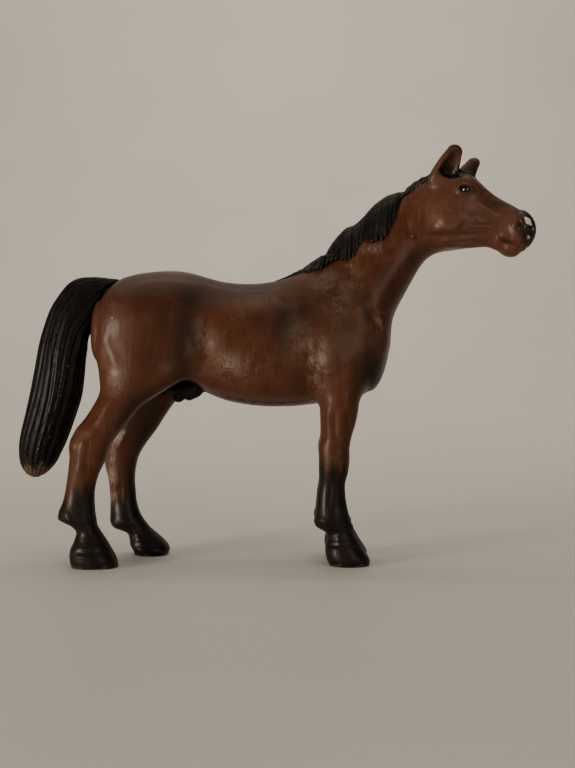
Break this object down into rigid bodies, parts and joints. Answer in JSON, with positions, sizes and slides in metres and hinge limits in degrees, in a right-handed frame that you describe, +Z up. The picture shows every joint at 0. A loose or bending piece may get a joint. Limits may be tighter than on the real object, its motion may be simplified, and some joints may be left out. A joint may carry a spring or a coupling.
{
  "type": "toy farm animal figure",
  "caption": "Small painted plastic horse figure standing on all fours, with a hanging mane, a long fluted tail and a slightly turned head.",
  "frame": {"origin": "centre of the bounding box at the level of the soles", "axes": "+X towards the nose, +Y to the horse's left, +Z up"},
  "size_m": [0.1414, 0.0328, 0.1132],
  "materials": {
    "coat": "satin brown paint on moulded plastic, mottled darker",
    "hair": "satin black paint over moulded strands",
    "leg": "satin brown paint that fades to black below, rubbed at the hoof"
  },
  "bodies": {
    "root": {"right_body_shell": "coat", "left_body_shell": "coat", "head_and_neck": "coat", "mane": "hair", "right_front_leg": "leg", "left_front_leg": "leg", "right_hind_leg": "leg", "left_hind_leg": "leg", "tail": "hair"}
  },
  "joints": []
}
